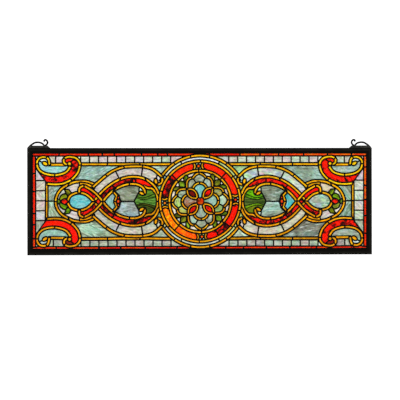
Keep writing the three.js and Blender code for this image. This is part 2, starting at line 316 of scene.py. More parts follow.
# Side ovals
crossing = (251, 0)
pane("oval_crescent", both_halves(oval_line + [(275.4, 26.2), (262.6, 14), crossing]), SIDES)
pane("oval_leaf", smooth([(363.4, 4.6), (360.7, 13.3), (355.8, 18.1), (348.1, 20.6), (343.7, 18)])
     + smooth([(341, 12), (343.7, 8.6), (348.5, 7.6), (353.5, 5.8), (358, 1.8)]), CORNERS)
pane("oval_leaf_tip", [(353, 34.5), (347.4, 31.8), (338.1, 31.2), (330.3, 20.6), (337.2, 12.2), (346, 20.3),
                       (347.6, 26.8)], CORNERS)
pane("oval_leaf_bud", both_halves([(374, 0), (371, 7), (362.4, 5.4), (359.6, 0)]), SIDES)

# The red band: from the knot beside the drop, through the crossing, and round the loop
band_hook = part(hook_line, (311.4, 22), (148.3, -37.2))
band_drop = part(drop_line, (106, -18), (309, 23.8))
pane("red_band", band_hook + [(134.9, -35.5), (123.5, -33.6), (114.5, -22), (109.2, -5)] + band_drop, CORNERS)
pane("oval_drop", both_halves(part(drop_line, (341, 0), (273.7, 0))), SIDES)
pane("pale_band", loop_line + [(120, 41)]
     + mirrored(part(drop_line, (118.3, -39.5), (259.4, -19.4)), 1, -1) + [(262.6, 14), (275.4, 26.2)],
     CORNERS)
cut("pale_band", [(113.6, 58), (111.6, 66), (107.5, 73)], CORNERS)

# Inside the loop: heart, two fields, palmette, and a web of solder round the bracket's dots
loop_inside = mirrored(part(hook_line, crossing, (148.3, -37.2)), 1, -1)
palmette_foot = [(134.9, 35.5), (123.5, 33.6), (114.5, 22), (111, 12), (109.2, 0)]
pane("loop_field", both_halves(loop_inside + palmette_foot), SIDES)
cut("loop_field", [(206, 0), (168, 0)], SIDES)
heart_side = mirrored(part(hook_line, crossing, (226, -26)), 1, -1)
pane("heart", both_halves(heart_side + bracket_line[::-1]), SIDES)
web_edge = [(218.5, 27), (209, 16.5), (206.5, 6.4), (203.5, 0)]
pane("solder_web", both_halves(bracket_line[:-2] + web_edge), SIDES)
palmette_head = [(170.5, 0), (163.3, 14.5), (158, 24.5), (154.5, 36.5), (148.3, 37.2)]
pane("palmette", both_halves(palmette_head + palmette_foot), SIDES)
cut("palmette", smooth([(164.3, 13.5), (151, 9.4), (135.5, 12), (120, 18.5), (110, 25)]), CORNERS)
cut("palmette", smooth([(167, 8), (162, 8.6), (149.8, 4.8), (135.5, 6.4), (118, 11), (106, 15)]), CORNERS)
pane("hook_chip", [(156.5, 38), (158.4, 24.5), (151, 20), (142, 22), (140, 32), (147, 40)], CORNERS)

# Roundel: the pale ring behind the outer amber ring, in an upper and a lower arc
OUTER_RING, MIDDLE_RING, INNER_RING = 118.4, 103.7, 79.5
RING_HALF = 3.7
UPRIGHT = ((1, 1), (1, -1))
pale_arc = arc(OUTER_RING, 27, 153) + arc(MIDDLE_RING, 27, 153)[::-1]
pane("pale_ring", pale_arc, UPRIGHT)
for degrees in (36.5, 64, 116, 143.5):
    cut("pale_ring", turned([(98, 0), (124, 0)], degrees), UPRIGHT)

# Amber strips, and the cuts that divide them and the bands under them
strip("border_strip", [(SIDE_STRIP_X, -2), (SIDE_STRIP_X, 51)], CORNERS, SIDE_STRIP_HALF)
strip("border_strip", [(312, BORDER_STRIP_Z), (71, BORDER_STRIP_Z)], CORNERS)
for x in (239, 155.5):
    cross_cut("border_strip", (x, BORDER_STRIP_Z), 90, CORNERS)
cross_cut("border_strip", (SIDE_STRIP_X, SIDE_JOIN), 0, SIDES)
for up in (1, -1):
    strip("outer_ring", mirrored(arc(OUTER_RING, 33, 147), 1, up))
for degrees in (55, 78, 102, 124):
    cut("outer_ring", turned([(111, 0), (124, 0)], degrees), UPRIGHT)
strip("oval_strip", oval_line, CORNERS)
cross_cut("oval_strip", (372.9, 0), 0, SIDES)
cross_cut("oval_strip", (337.8, 46.5), 118, CORNERS)
strip("second_strip", second_line, CORNERS)
strip("palmette_strip", palmette_line, CORNERS)
cross_cut("palmette_strip", (109.2, 0), 0, SIDES)
strip("bracket_strip", bracket_line, CORNERS, 3.3)
cross_cut("bracket_strip", (219.8, 0), 0, SIDES)
strip("drop_strip", drop_line, CORNERS)
pane("oval_flower", both_halves([(359, 0), (356, 4.8), (349, 8), (344.3, 4.6), (338.6, 0)]), SIDES)
cross_cut("drop_strip", (341, 0), 0, SIDES)
cross_cuts("drop_strip", (((312.5, 23.8), 85), ((271.2, -3.6), -36.8), ((206.5, -56.6), 65),
                          ((141, -57.5), 118), ((273.9, 0), 0)), CORNERS)
strip("hook_strip", hook_line, CORNERS)
cross_cuts("hook_strip", (((299.2, 40), 84), ((220.5, -31), 45), ((182.5, -45), 88), (crossing, 90),
                          (crossing, 0)), CORNERS)
strip("loop_strip", loop_line, CORNERS)
cross_cuts("loop_strip", (((242, 67.5), 47), ((196, 88.5), 68), ((148.2, 89.8), 92),
                          ((98.8, 62), 10)), CORNERS)
cut("pale_band", [(216.2, 74.5), (209.8, 61.5)], CORNERS)
cut("pale_band", [(148, 88.5), (151.5, 66)], CORNERS)
cross_cut("red_band", (223, 37.5), 50, CORNERS, 10)
cross_cut("red_band", (170.5, 55), 90, CORNERS[1:], 10)
for x in (174.5, 165.8):
    cross_cut("red_band", (x, 55), 90, CORNERS[:1], 10)
pane("comma_bead", oval((114.2, 52), 7.7, 4.8, 78), CORNERS)
pane("hook_bead", oval((151, 21.2), 7.7, 4.6, 30), CORNERS)
pane("bracket_dot", oval((211.3, 0), 5.6, 4.6, 90), SIDES)
pane("bracket_dot", oval((211, 9.7), 3.8, 3, 80), CORNERS)

# Corner scrolls
inner_arc = part(curl_line, (389.1, 93), (336.4, 92))
pane("scroll_blue", inner_arc + [(347, 94.6), (389, 94.6)], CORNERS)
pane("scroll_red", head_line + [(397, 50), (423.6, 85)] + part(curl_line, (417, 85.5), (336.4, 92)), CORNERS)
cut("scroll_blue", [(404.5, 99.8), (413, 104), (420, 108)], CORNERS)
cut("scroll_blue", [(396, 94.9), (386, 94.6)], CORNERS)
cut("scroll_red", [(335, 99), (332, 103), (325.5, 108.5), (322.5, 113)], CORNERS)
strip("scroll_bar", [(390, 94.6), (346, 94.6)], CORNERS)
strip("head_strip", head_line, CORNERS)
strip("curl_strip", curl_line, CORNERS)
cross_cuts("curl_strip", (((396.5, 112), 110), ((419.5, 96.5), 0), ((374.6, 68.2), 90)), CORNERS)
cross_cuts("head_strip", (((348.5, 110), 45), ((332, 56.3), 50), ((309.9, 94), 0)), CORNERS)
pane("scroll_comma", oval((399.6, 97.2), 7.9, 5, 32), CORNERS)
pane("scroll_dot", disc(5.3, (336.3, 97.2)), CORNERS)

# Roundel: red ring between two amber rings, with a block at the end of each axis. The axes lean a little.
ROUNDEL_TURN = 2.6
AXES = [axis + ROUNDEL_TURN for axis in (0, 90, 180, 270)]


def amber_ring(group, radius):
    pane(group, arc(radius + RING_HALF, 0, 360) + arc(radius - RING_HALF, 0, 360)[::-1])


pane("red_ring", disc(MIDDLE_RING))
for degrees in (48, 137, 228.4, -40.5, -62):
    cut("red_ring", turned([(80, 0), (103, 0)], degrees))
block_side = smooth([(79, 13.6), (84, 11.6), (91.3, 9.1), (98, 11.4), (103, 13.4)])
for turn in AXES:
    pane("block", turned(block_side + mirrored(block_side, 1, -1)[::-1], turn))
    cut("block", turned([(80, 0), (103, 0)], turn))
    cut("block", turned([(91.3, -9), (91.3, 9)], turn))
    for up in (1, -1):
        strip("block_strip", turned(mirrored(block_side, 1, up), turn), half=3)
    pane("block_dot", turned(disc(4.5, (91.3, 0)), turn))
amber_ring("middle_ring", MIDDLE_RING)
for degrees in (37.2, 89.3, 140.6, 165.4, 193.8, 218.7, 268.7, -38.8, -13.1, 18.8):
    cut("middle_ring", turned([(98, 0), (109, 0)], degrees))
pane("spandrel", disc(INNER_RING))
amber_ring("inner_ring", INNER_RING)
for i in range(8):
    cut("inner_ring", turned([(74, 0), (85, 0)], i * 45 + ROUNDEL_TURN))

# Rosette: set a little above and to the right of the rings' middle
THIN_HALF = 3.1
ROSETTE_MIDDLE = (0.6, 0.5)


def in_rosette(line, degrees):
    return turned(line, degrees, ROSETTE_MIDDLE)


lobe_side = smooth([(15.5, 61), (26, 59), (32.5, 50), (33.2, 33)])
lobe_tip = smooth([(18, 59.5), (9.3, 68.6), (0, 72.2), (-9.3, 68.6), (-18, 59.5)])
cap_line = smooth([(17.5, 27), (17, 35.5), (10.4, 43.6), (0, 46.8), (-10.4, 43.6), (-17, 35.5), (-17.5, 27)])
keyhole_stem = smooth([(4, 0), (4.3, 8), (4.5, 15), (6, 20), (10, 24), (16.5, 27)])
petal_side = smooth([(11.3, 0), (20, 7), (29, 9.5), (37.6, 7.2), (46, 0)])
spandrel_leaf = [(33, 46), (39.2, 52), (40.6, 60), (38.2, 66.5), (33.5, 69.5), (29.5, 66), (29, 55)]
spandrel_square = [(37.6, 40), (40.8, 36.8), (50.2, 38), (53.4, 41.2), (54.4, 50.6), (51.4, 53.6), (42, 52.6),
                   (38.8, 49.4)]
for turn in AXES:
    for across in (1, -1):
        pane("spandrel_leaf", in_rosette(mirrored(spandrel_leaf, across, 1), turn))
    pane("spandrel_square", in_rosette(spandrel_square, turn))
    cut("spandrel", in_rosette([(50, 50), (56, 56)], turn))
for turn in AXES:
    pane("lobe", in_rosette([(0, 0), (33.2, 33)] + lobe_side[::-1] + lobe_tip + mirrored(lobe_side, -1, 1)
                            + [(-33.2, 33)], turn))
    for across in (1, -1):
        cut("lobe", in_rosette(mirrored([(18.5, 61), (13, 55), (10, 49), (9, 43)], across, 1), turn))
for turn in AXES:
    pane("solder_web", in_rosette([(0, 0)] + cap_line, turn))
    pane("keyhole", in_rosette(keyhole_stem + cap_line + mirrored(keyhole_stem, -1, 1)[::-1], turn))
    for across in (1, -1):
        strip("lobe_strip", in_rosette(mirrored(lobe_side, across, 1), turn), half=THIN_HALF)
    strip("tip_strip", in_rosette(lobe_tip, turn), half=THIN_HALF)
    cut("tip_strip", in_rosette([(0, 68), (0, 82)], turn))
    strip("cap_strip", in_rosette(cap_line, turn), half=THIN_HALF)
    cut("cap_strip", in_rosette([(0, 40), (0, 52)], turn))
for turn in (axis + 45 for axis in AXES):
    pane("petal", in_rosette(petal_side + mirrored(petal_side, 1, -1)[::-1][1:-1], turn))
    for up in (1, -1):
        strip("petal_strip", in_rosette(mirrored(petal_side, 1, up), turn), half=THIN_HALF)
    cut("petal_strip", in_rosette([(42, 0), (53, 0)], turn))
    cut("lobe_strip", in_rosette([(42, 0), (53, 0)], turn))


def squared(share):
    """A circle's sine or cosine, pushed out towards a square."""
    return math.copysign(abs(share) ** 0.75, share)


jewel_turns = [math.radians(12 * i) for i in range(30)]
pane("jewel", in_rosette([(8.6 * squared(math.cos(a)), 8.8 * squared(math.sin(a))) for a in jewel_turns], 0))

# Where the leads have pulled the drawing a little out of true as it was built: middle, reach and shift
SETTLED = [
    ((-397, 20), 50, (1, 0)), ((-395, -78), 42, (0, 1.5)), ((395, -78), 42, (0, 1.6)),
    ((-395, 74), 36, (0, 0.8)), ((395, 74), 36, (0, 0.9)), ((-185, -54), 44, (0, 2.1)),
    ((185, -56), 30, (0, 0.7)), ((-142, -88), 22, (0, 1)), ((142, -88), 30, (0, 1.4)),
    ((-330, -47), 34, (0, 0.5)), ((330, -47), 34, (0, 0.9)), ((262, -18), 22, (-1, 1)),
    ((-350, 100), 14, (-0.6, 0.6)), ((350, 101), 16, (0.4, 0.6)), ((-390, 104), 12, (1, 0.6)),
    ((390, 104), 12, (-0.3, 0.6)),
]

# Cut the cartoon up: each outline and cut becomes edges of one net of triangles, each triangle takes the
# top outline over it, and the pieces of glass are the patches between the leads
POINTS_MEET = 0.01
places, edges, edge_line = [], [], []


def into_net(line, number, closed):
    first = len(places)
    places.extend(Vector(p) for p in line)
    count = len(line)
    for i in range(count if closed else count - 1):
        edges.append((first + i, first + (i + 1) % count))
        edge_line.append(number)


for number, (group, outline) in enumerate(layers):
    into_net(outline, number, True)
for number, (group, line) in enumerate(cuts, len(layers)):
    into_net(line, number, False)
net, net_edges, triangles, _, net_edge_of, _ = geometry.delaunay_2d_cdt(
    places, edges, [], 0, POINTS_MEET, True)
drawn = np.array([tuple(v) for v in net])
corners = np.array([tuple(t) for t in triangles])
middles = drawn[corners].mean(axis=1)
net = drawn.copy()
for place, reach, shift in SETTLED:
    near = np.exp(-((drawn - place) ** 2).sum(axis=1) / reach**2)
    net = net + near[:, None] * shift


def inside(outline, points):
    """Which points lie inside an outline, by how often it winds round them."""
    a = np.array(outline)
    b = np.roll(a, -1, axis=0)
    low, high = a.min(axis=0), a.max(axis=0)
    found = np.flatnonzero(np.all((points > low) & (points < high), axis=1))
    p = points[found][:, None, :]
    side = (b[:, 0] - a[:, 0]) * (p[..., 1] - a[:, 1]) - (p[..., 0] - a[:, 0]) * (b[:, 1] - a[:, 1])
    rising = (a[:, 1] <= p[..., 1]) & (b[:, 1] > p[..., 1]) & (side > 0)
    falling = (a[:, 1] > p[..., 1]) & (b[:, 1] <= p[..., 1]) & (side < 0)
    turns = rising.sum(axis=1) - falling.sum(axis=1)
    return found[turns != 0]


top = np.full(len(corners), -1)
for number, (group, outline) in enumerate(layers):
    top[inside(outline, middles)] = number
groups = [layers[number][0] if number >= 0 else None for number in top]

sides_of = {}
for t, (a, b, c) in enumerate(corners.tolist()):
    for edge in ((a, b), (b, c), (c, a)):
        sides_of.setdefault(tuple(sorted(edge)), []).append(t)
cut_groups = {}
for edge, sources in zip(net_edges, net_edge_of):
    for source in sources:
        number = edge_line[source] - len(layers)
        if number >= 0:
            cut_groups.setdefault(tuple(sorted(edge)), set()).add(cuts[number][0])

leads, joined = [], {t: [] for t in range(len(corners))}
for edge, sides in sides_of.items():
    if len(sides) < 2:
        continue
    kinds = [groups[t] for t in sides]
    if kinds[0] == kinds[1]:
        if kinds[0] in cut_groups.get(edge, ()):
            leads.append((edge, kinds[0]))
        else:
            joined[sides[0]].append(sides[1])
            joined[sides[1]].append(sides[0])
    elif None not in kinds:
        leads.append((edge, None))

piece_of = np.full(len(corners), -1)
pieces = []
for t in range(len(corners)):
    if piece_of[t] < 0 and groups[t]:
        patch, piece_of[t] = [t], len(pieces)
        for one in patch:
            for other in joined[one]:
                if piece_of[other] < 0:
                    piece_of[other] = len(pieces)
                    patch.append(other)
        pieces.append({"group": groups[t], "triangles": corners[patch]})

SLIVER = 2.4  # twice the area over the length round it: what is finer is filled with solder
for piece in pieces:
    a, b, c = net[piece["triangles"]].transpose(1, 0, 2)
    piece["area"] = abs((b - a)[:, 0] * (c - a)[:, 1] - (b - a)[:, 1] * (c - a)[:, 0]).sum() / 2
    rim = set()
    for corner in piece["triangles"].tolist():
        for edge in zip(corner, corner[1:] + corner[:1]):
            if edge[::-1] in rim:
                rim.remove(edge[::-1])
            else:
                rim.add(edge)
    piece["rim"] = sorted(rim)
    around = sum(math.dist(net[a], net[b]) for a, b in rim)
    if piece["group"] == "solder_web" or 2 * piece["area"] / around < SLIVER:
        piece["group"] = "solder"


# ---- Red border ----
# Narrow strips of cherry red glass all round, cut to random lengths and butted end to end. Their outer
# edge sits in the groove of the metal frame, their inner edge in lead.
GLASS_HALF_THICK = 1.5
GLASS_GAP = 0.3  # between the edge of a glass and the middle of the lead beside it
LEAST_PUSH = 0.3  # where the two edges of a sliver nearly face each other, its point stays in place
SEED_STEPS = 7  # to a millimetre, so that a piece keeps its own seed
SEED_ROW = 131


def in_panel(x, z, depth=0):
    """The point at a place on the cartoon, with all three in millimetres from the panel's middle."""
    return x / 1000, depth / 1000, MIDDLE.z + z / 1000


def glass_plates(name, wanted, tint_of, half_thick=GLASS_HALF_THICK, gap=GLASS_GAP):
    """One object of the pieces of the wanted groups, each a flat plate of even thickness.

    Every point carries the piece's colour as the attribute tint, how strongly it is marked as figure, and
    its place on the sheet that it was cut from as the attribute sheet: along the grain, across it, and a
    number that is its own.
    """
    points, faces, tints, sheets, figures = [], [], [], [], []
    for piece in pieces:
        if piece["group"] not in wanted:
            continue
        patch, outline = piece["triangles"], piece["rim"]
        number = {int(v): i for i, v in enumerate(np.unique(patch))}
        flat = np.array([net[v] for v in number])
        push = np.zeros_like(flat)
        for a, b in outline:
            along = net[b] - net[a]
            inward = np.array((-along[1], along[0])) / math.hypot(*along)
            for v in (a, b):
                push[number[v]] += inward
        size = np.linalg.norm(push, axis=1, keepdims=True)
        flat = flat + np.where(size > LEAST_PUSH, push / np.maximum(size, LEAST_PUSH), 0) * gap
        middle = flat.mean(axis=0)
        spread = np.linalg.svd(flat - middle, full_matrices=False)[2][0]
        seed = random.Random(round(middle[0] * SEED_STEPS) * SEED_ROW + round(middle[1] * SEED_STEPS))
        *tint, figured = tint_of(piece["group"], middle, piece["area"], seed)
        along = (flat - middle) @ spread
        across = (flat - middle) @ np.array((-spread[1], spread[0]))
        own = seed.uniform(0, 90)
        first = len(points)
        for depth in (-half_thick, half_thick):
            points.extend(in_panel(x, z, depth) for x, z in flat)
            tints.extend([tint] * len(flat))
            figures.extend([figured] * len(flat))
            sheets.extend((u, v, own) for u, v in zip(along, across))
        behind = first + len(flat)
        for a, b, c in patch.tolist():
            a, b, c = number[a], number[b], number[c]
            faces.append((first + a, first + b, first + c))
            faces.append((behind + c, behind + b, behind + a))
        for a, b in outline:
            a, b = number[a], number[b]
            faces.append((first + b, first + a, behind + a, behind + b))
    mesh = bpy.data.meshes.new(name)
    mesh.from_pydata(points, [], faces)
    for attribute, values in (("tint", tints), ("sheet", sheets)):
        data = mesh.attributes.new(attribute, "FLOAT_VECTOR", "POINT").data
        data.foreach_set("vector", np.array(values, dtype=np.float32).ravel())
    mesh.attributes.new("figure", "FLOAT", "POINT").data.foreach_set("value", figures)
    return in_scene(name, mesh)


class Wire:
    """The output of a shader node. Sums with it add Math nodes."""

    def __init__(self, recipe, socket):
        self.recipe, self.socket = recipe, socket

    def maths(self, operation, *values):
        return self.recipe.node("ShaderNodeMath", {"operation": operation}, dict(enumerate(values)))

    def __add__(self, other):
        return self.maths("ADD", self, other)

    def __sub__(self, other):
        return self.maths("SUBTRACT", self, other)

    def __rsub__(self, other):
        return self.maths("SUBTRACT", other, self)

    def __mul__(self, other):
        return self.maths("MULTIPLY", self, other)

    __radd__, __rmul__ = __add__, __mul__


class Recipe:
    """A material and the nodes it is made of."""

    def __init__(self, name):
        self.material = bpy.data.materials.new(name)
        self.material.use_nodes = True
        self.tree = self.material.node_tree
        self.tree.nodes.clear()

    def node(self, kind, settings=None, sockets=None, output=0):
        """Adds a node: its settings come first, then the values or wires of its sockets."""
        node = self.tree.nodes.new(kind)
        for name, value in (settings or {}).items():
            setattr(node, name, value)
        for name, value in (sockets or {}).items():
            if isinstance(value, Wire):
                self.tree.links.new(value.socket, node.inputs[name])
            else:
                node.inputs[name].default_value = value
        return Wire(self, node.outputs[output]) if node.outputs else None

    def mixed(self, share, one, other, blend="MIX"):
        """A colour between two colours."""
        settings = {"data_type": "RGBA", "blend_type": blend}
        return self.node("ShaderNodeMix", settings, {0: share, 6: one, 7: other}, 2)

    def tinted(self, colour, tint):
        """A colour seen through another."""
        return self.mixed(1.0, colour, tint, "MULTIPLY")

    def noise(self, place, scale, detail=3, roughness=0.55, distortion=0, output=0):
        sockets = {"Vector": place, "Scale": scale, "Detail": detail, "Roughness": roughness,
                   "Distortion": distortion}
        return self.node("ShaderNodeTexNoise", None, sockets, output)

    def rise(self, value, low, high):
        """0 below low, 1 above high, and smooth between."""
        return self.node("ShaderNodeMapRange", {"interpolation_type": "SMOOTHSTEP"},
                         {"Value": value, "From Min": low, "From Max": high})

    def finish(self, colour, roughness, bump, strength, depth, **constants):
        """The surface: its colour, its roughness, and what raises it, how strongly and how far."""
        normal = self.node("ShaderNodeBump", None, {"Strength": strength, "Distance": depth, "Height": bump})
        sockets = {"Base Color": colour, "Roughness": roughness, "Normal": normal}
        sockets.update((name.replace("_", " "), value) for name, value in constants.items())
        shader = self.node("ShaderNodeBsdfPrincipled", None, sockets)
        self.node("ShaderNodeOutputMaterial", None, {"Surface": shader})
        return self.material


def light_of(red, green, blue):
    """The share of light a colour on a 0 to 255 paint chart gives back."""
    return tuple(v / 255 / 12.92 if v <= 10 else ((v / 255 + 0.055) / 1.055) ** 2.4
                 for v in (red, green, blue))


def glass(colour, figure=0.5, seed=None, amount=0.04):
    """A piece's colour from the chart, a little lighter or darker, and how strongly it is figured."""
    lift = 1 + seed.uniform(-amount, amount) if seed else 1
    return *light_of(*(min(255, max(0, v * lift)) for v in colour)), figure


def sheet_glass(name):
    """A recipe with what each piece carries: its colour, its share of figure, and its place on the sheet."""
    recipe = Recipe(name)
    marks = (("tint", 0), ("figure", 2), ("sheet", 1))
    return recipe, *(recipe.node("ShaderNodeAttribute", {"attribute_name": name}, output=kind)
                     for name, kind in marks)


def stretched(recipe, sheet, along, across):
    return recipe.node("ShaderNodeVectorMath", {"operation": "MULTIPLY"}, {0: sheet, 1: (along, across, 1)})


def finished_glass(recipe, colour, sheet, roughness, ripple, play=0.22):
    """Fire-polished sheet: uneven in depth of colour, with a slow ripple from the rollers and a fine one
    from the pour."""
    depth = recipe.rise(recipe.noise(stretched(recipe, sheet, 0.08, 0.24), 1, 4, 0.6), 0.38, 0.62)
    colour = recipe.node("ShaderNodeVectorMath", {"operation": "SCALE"},
                         {0: colour, "Scale": depth * (2 * play) + (0.93 - play)})
    slow = recipe.noise(stretched(recipe, sheet, 0.05, 0.12), 1, 2)
    fine = recipe.noise(stretched(recipe, sheet, 0.35, 0.6), 1, 3)
    return recipe.finish(colour, roughness, slow * 0.7 + fine * 0.3, 0.5, ripple, IOR=1.5,
                         Specular_IOR_Level=0.02, Transmission_Weight=0.06)


def fit(piece, slot, *nodes):
    """Fixes a piece in the panel, in place of the solids that it stands for."""
    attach(piece, "root")
    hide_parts(*nodes)


def dress(piece, material, slot, *nodes):
    piece.data.materials.append(material)
    fit(piece, slot, *nodes)


def lay(name, groups, tint_of, sheet, slot, *nodes):
    """Glass of the named groups, all cut from one kind of sheet."""
    dress(glass_plates(name, groups, tint_of), sheet, slot, *nodes)


def at_corners(stem):
    return [f"{stem}_{up}_{side}" for up in ("upper", "lower") for side in ("left", "right")]


def border_tint(group, place, size, seed):
    x, z = place
    if x > 425:
        return glass((255, 70, 16) if z > 0 else (250, 36, 4), 0.1, seed, 0.03)
    if x < -425:
        return glass((250, 28, 4), seed.choice((0.05, 0.3)), seed, 0.06)
    if x > 90 and z > 0:
        return glass(seed.choice(((255, 72, 8), (255, 56, 6), (255, 44, 4))), 0.08, seed, 0.02)
    colour = seed.choice(((255, 48, 6), (255, 36, 4), (255, 32, 4), (240, 26, 4)))
    return glass(colour, seed.choice((0, 0.05, 0.12)), seed, 0.02)


recipe, tint, figure, sheet = sheet_glass("red_glass")
marble = recipe.noise(stretched(recipe, sheet, 0.06, 0.1), 1, 4, 0.62, 0.5)
clear_part = 0.66 - 0.3 * figure
mottle = recipe.rise(marble, clear_part - 0.015, clear_part + 0.045)
core = recipe.rise(marble, clear_part + 0.03, clear_part + 0.12)
ember = recipe.rise(recipe.noise(stretched(recipe, sheet, 0.09, 0.14), 1.7, 2), 0.46, 0.62)
glow = recipe.mixed(ember * 0.6, tint, recipe.tinted(tint, (1.0, 5.0, 0.6, 1)))
dark = recipe.mixed(core, recipe.tinted(tint, (0.2, 0.3, 0.5, 1)), (0.01, 0.002, 0.0015, 1))
red_glass = finished_glass(recipe, recipe.mixed(mottle, glow, dark), sheet, mottle * 0.25 + 0.12, 0.0005, 0.1)
lay("red_border_strips", {"red_border"}, border_tint, red_glass, "red_glass", "red_border")


# ---- Pale tiles ----
# Near-square tiles of iridised opalescent glass, milky with breaths of pink, green and lilac. A row runs
# above and below the ornament and a column at either end, between the red border and the amber line.
def tile_tint(group, place, size, seed):
    x, z = place
    if size < 170:
        return glass((226, 238, 214), 0.2, seed)
    # The lower row is painted darker than the upper one: painted shade, as if the light fell from above.
    if z < -90:
        sheets = ((166, 176, 152), (172, 160, 148), (150, 174, 150), (160, 170, 144), (176, 168, 156))
    else:
        sheets = ((204, 198, 180), (208, 192, 188), (188, 206, 182), (202, 204, 190), (200, 192, 194))
    return glass(seed.choice(sheets), 0.5, seed, 0.03)


def breath_of_colour(recipe, sheet, strength, size=0.11):
    """Soft clouds of pink, green and lilac, round white."""
    hue = recipe.noise(stretched(recipe, sheet, 1, 1.3), size, 2, 0.6, 0.4, output=1)
    return recipe.node("ShaderNodeVectorMath", {"operation": "MULTIPLY_ADD"},
                       {0: hue, 1: (strength,) * 3, 2: (1 - 0.52 * strength,) * 3})


def streaks(recipe, sheet, along, across, low=0.43, high=0.6, waver=1.2):
    """Long soft streaks, from 0 to 1."""
    return recipe.rise(recipe.noise(stretched(recipe, sheet, along, across), 1, 5, 0.6, waver), low, high)


recipe, tint, figure, sheet = sheet_glass("pale_opal_glass")
milk = recipe.tinted(tint, breath_of_colour(recipe, sheet, 1.1, 0.2))
oily = recipe.tinted(tint, breath_of_colour(recipe, sheet, 2.4, 0.055))
milk = recipe.mixed(figure * 0.8, milk, oily)
wisp = recipe.mixed(streaks(recipe, sheet, 0.07, 0.2) * 0.3, milk, (0.76, 0.79, 0.7, 1))
shade = recipe.tinted(tint, (0.66, 0.64, 0.6, 1))
pale = recipe.mixed(streaks(recipe, sheet, 0.05, 0.16, 0.5, 0.68) * 0.4, wisp, shade)
pale_glass = finished_glass(recipe, pale, sheet, 0.22, 0.0003)
lay("pale_tiles", {"tiles"}, tile_tint, pale_glass, "pale_opal_glass",
    *at_corners("tile_row"), "side_tiles_left", "side_tiles_right")


# ---- Corner scrolls ----
# In each corner a band of mottled red hangs from a curl of amber, round a boat of turquoise opal. The
# red is one long sweep, cut once at its head.
def corner_of(place):
    return CORNERS.index((-1 if place[0] < 0 else 1, -1 if place[1] < 0 else 1))


def scroll_tint(group, place, size, seed):
    corner = corner_of(place)
    if group == "scroll_blue" and size < 260:
        return glass((208, 228, 222), 0.2, seed)
    if group == "scroll_blue":
        return glass(((146, 208, 206), (164, 186, 170), (138, 182, 168), (156, 168, 146))[corner],
                     0.5, seed, 0.02)
    if size < 200:
        return glass(((250, 30, 2), (246, 28, 0), (120, 12, 10), (140, 14, 10))[corner], 0.15, seed, 0.02)
    return glass((250, 16, 2), (0.68, 0.5, 0.15, 0.52)[corner], seed, 0.02)


lay("red_scrolls", {"scroll_red"}, scroll_tint, red_glass, "red_glass", *at_corners("scroll_red"))

recipe, tint, figure, sheet = sheet_glass("blue_opal_glass")
milk = recipe.mixed(streaks(recipe, sheet, 0.05, 0.11, 0.46, 0.62) * figure, tint, (0.66, 0.8, 0.74, 1))
deep = recipe.tinted(tint, (0.34, 0.6, 0.68, 1))
deep = recipe.mixed(streaks(recipe, sheet, 0.04, 0.12, 0.48, 0.64) * figure, milk, deep)
tinge = recipe.mixed(figure, breath_of_colour(recipe, sheet, 0.3), breath_of_colour(recipe, sheet, 1.5, 0.05))
blue_glass = finished_glass(recipe, recipe.tinted(deep, tinge), sheet, 0.2, 0.0004)
lay("blue_scrolls", {"scroll_blue"}, scroll_tint, blue_glass, "blue_opal_glass", *at_corners("scroll_blue"))


# ---- Green field ----
# The ground that the ornament lies on: large sheets of streaky sea-green opal, with grey and earth-brown
# smoke in it. The same glass fills the loops behind the palmettes.
def field_tint(group, place, size, seed):
    x, z = place
    corner = corner_of(place)
    if size < 260:
        return glass(((130, 200, 165), (160, 206, 130), (150, 190, 150), (180, 214, 130))[corner], 0.2, seed)
    if group == "loop_field":
        return glass(((150, 168, 146), (142, 158, 138), (160, 180, 180), (160, 186, 168))[corner], 0.8)
    if abs(x) > 330:
        return glass(((148, 168, 152), (158, 184, 160), (176, 204, 176), (132, 156, 130))[corner], 0.8)
    if abs(x) < 150:
        return glass(((200, 214, 194), (176, 222, 162), (176, 196, 174), (190, 214, 188))[corner], 0.6, seed)
    return glass(((154, 188, 174), (150, 178, 160), (170, 194, 164), (134, 136, 122))[corner],
                 (0.75, 0.7, 0.85, 1)[corner])


recipe, tint, figure, sheet = sheet_glass("green_opal_glass")
milk = recipe.mixed(streaks(recipe, sheet, 0.016, 0.06, 0.5, 0.6, 1.8) * figure * 0.75, tint,
                    (0.62, 0.72, 0.64, 1))
ash = recipe.tinted(tint, (0.32, 0.29, 0.24, 1))
smoke = recipe.mixed(streaks(recipe, sheet, 0.022, 0.085, 0.49, 0.59, 2.4) * figure * 0.9, milk, ash)
sea = recipe.tinted(tint, (0.4, 0.95, 0.9, 1))
smoke = recipe.mixed(streaks(recipe, sheet, 0.013, 0.045, 0.5, 0.62, 1.0) * 0.4, smoke, sea)
wisp = recipe.tinted(smoke, (0.6, 0.62, 0.6, 1))
smoke = recipe.mixed(streaks(recipe, sheet, 0.03, 0.22, 0.5, 0.62, 0.8) * 0.6, smoke, wisp)
cloud = streaks(recipe, sheet, 0.011, 0.02, 0.43, 0.57, 0.5)
sky = recipe.tinted(smoke, (1.2, 1.26, 1.34, 1))
earth = recipe.tinted(smoke, (0.78, 0.7, 0.62, 1))
smoke = recipe.mixed(figure, smoke, recipe.mixed(cloud, earth, sky))
green_glass = finished_glass(recipe, recipe.tinted(smoke, breath_of_colour(recipe, sheet, 0.5)),
                             sheet, 0.2, 0.0004)
lay("green_fields", {"field"}, field_tint, green_glass, "green_opal_glass",
    *at_corners("green_field"), "side_green_field_left", "side_green_field_right")
lay("loop_green_fields", {"loop_field"}, field_tint, green_glass, "green_opal_glass",
    *at_corners("loop_green_field"))


